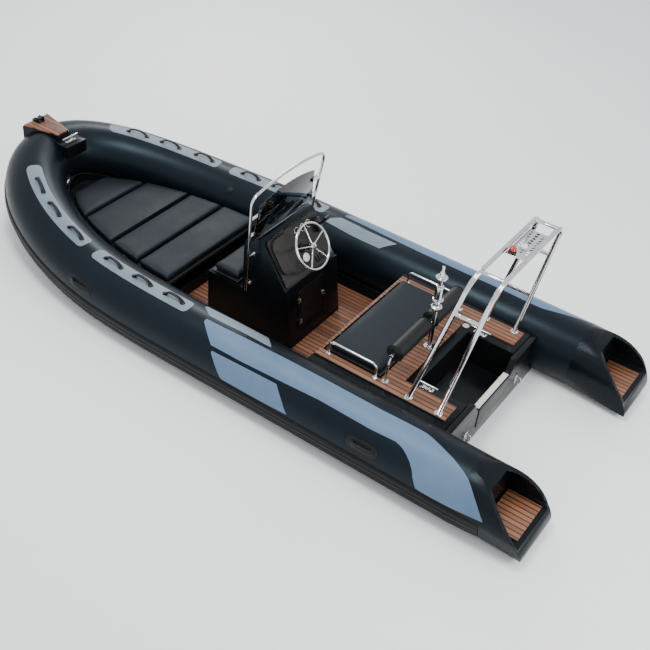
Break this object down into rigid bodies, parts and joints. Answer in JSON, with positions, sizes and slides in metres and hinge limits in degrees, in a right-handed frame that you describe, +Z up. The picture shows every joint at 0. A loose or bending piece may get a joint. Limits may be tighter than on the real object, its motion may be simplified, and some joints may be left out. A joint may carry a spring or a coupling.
{
  "type": "rigid inflatable boat",
  "caption": "Rigid inflatable boat with a deep-V hull, an inflated collar, a steering console with a smoked screen, a bench, a ski pole and a stainless stern tower.",
  "frame": {"origin": "on the centreline at the waterline, midway between the tail ends and the front of the bow step", "axes": "+X towards the bow, +Y to port, +Z up, with the waterline at z = 0"},
  "size_m": [6.06, 2.5344, 1.9258],
  "materials": {
    "gelcoat": "gloss black gelcoat, lightly clouded",
    "collar_fabric": "dark navy-grey coated fabric with a faint weave and a soft sheen",
    "tail_black": "black moulded tail shell",
    "teak": "reddish teak planks with black caulking",
    "strake_rubber": "ribbed black rubber",
    "handle_rubber": "moulded black rubber",
    "cushion": "dark slate marine vinyl with piped edges",
    "roll_vinyl": "black marine vinyl",
    "seat_board": "black moulded board",
    "dash_plate": "smoked grey dash plate",
    "smoked_glass": "smoked acrylic",
    "stainless": "polished stainless steel",
    "black_plastic": "black moulded plastic",
    "pad_plastic": "cream engine pad"
  },
  "bodies": {
    "boat": {"hull": "gelcoat", "cockpit_floor": "teak", "bow_deck": "gelcoat", "transom": "gelcoat", "aft_deck": "gelcoat", "aft_deck_teak": "teak", "collar_port": "collar_fabric", "collar_starboard": "collar_fabric", "collar_bow": "collar_fabric", "tail_shell_port": "tail_black", "tail_shell_starboard": "tail_black", "step_teak": "teak", "rubbing_strake": "strake_rubber", "grab_handles_bow_port": "handle_rubber", "grab_handles_bow_starboard": "handle_rubber", "grab_handles_mid_port": "handle_rubber", "grab_handles_mid_starboard": "handle_rubber", "carry_handles": "handle_rubber", "bow_step": "gelcoat", "cleats": "stainless", "bow_cushion_1": "cushion", "bow_cushion_2": "cushion", "bow_cushion_3": "cushion", "bow_cushion_4": "cushion", "console_body": "gelcoat", "dash_panel": "dash_plate", "front_seat_back": "cushion", "windscreen": "smoked_glass", "windscreen_frame": "stainless", "steering_column": "black_plastic", "throttle": "black_plastic", "backrest": "roll_vinyl", "backrest_frame": "stainless", "seat_rails": "stainless", "ski_pole": "stainless", "tower": "stainless", "tower_plate": "stainless", "transom_pad": "pad_plastic", "deck_fittings": "stainless"},
    "steering_wheel": {"steering_wheel": "stainless"},
    "console_door": {"console_door": "gelcoat"},
    "front_seat_lid": {"front_seat_lid": "seat_board", "front_seat_cushion": "cushion"},
    "bench_lid": {"bench_lid": "seat_board", "bench_cushion": "cushion"},
    "anchor_roller": {"anchor_roller": "black_plastic"}
  },
  "joints": [
    {"name": "steering", "type": "hinge", "parent": "boat", "child": "steering_wheel", "pos_m": [-0.2698, -0.03, 0.8271], "axis": [-0.8387, 0, 0.5446], "range_deg": [-540, 540]},
    {"name": "console_door_hinge", "type": "hinge", "parent": "boat", "child": "console_door", "pos_m": [-0.3547, 0.244, 0.3229], "axis": [-0.1412, 0, -0.99], "range_deg": [0, 110]},
    {"name": "front_seat_hinge", "type": "hinge", "parent": "boat", "child": "front_seat_lid", "pos_m": [0.508, 0, 0.42], "axis": [0, 1, 0], "range_deg": [0, 80]},
    {"name": "bench_hinge", "type": "hinge", "parent": "boat", "child": "bench_lid", "pos_m": [-0.858, 0, 0.43], "axis": [0, 1, 0], "range_deg": [0, 85]},
    {"name": "anchor_roller_spin", "type": "hinge", "parent": "boat", "child": "anchor_roller", "pos_m": [2.952, 0, 0.817], "axis": [0, 1, 0], "continuous": true}
  ]
}
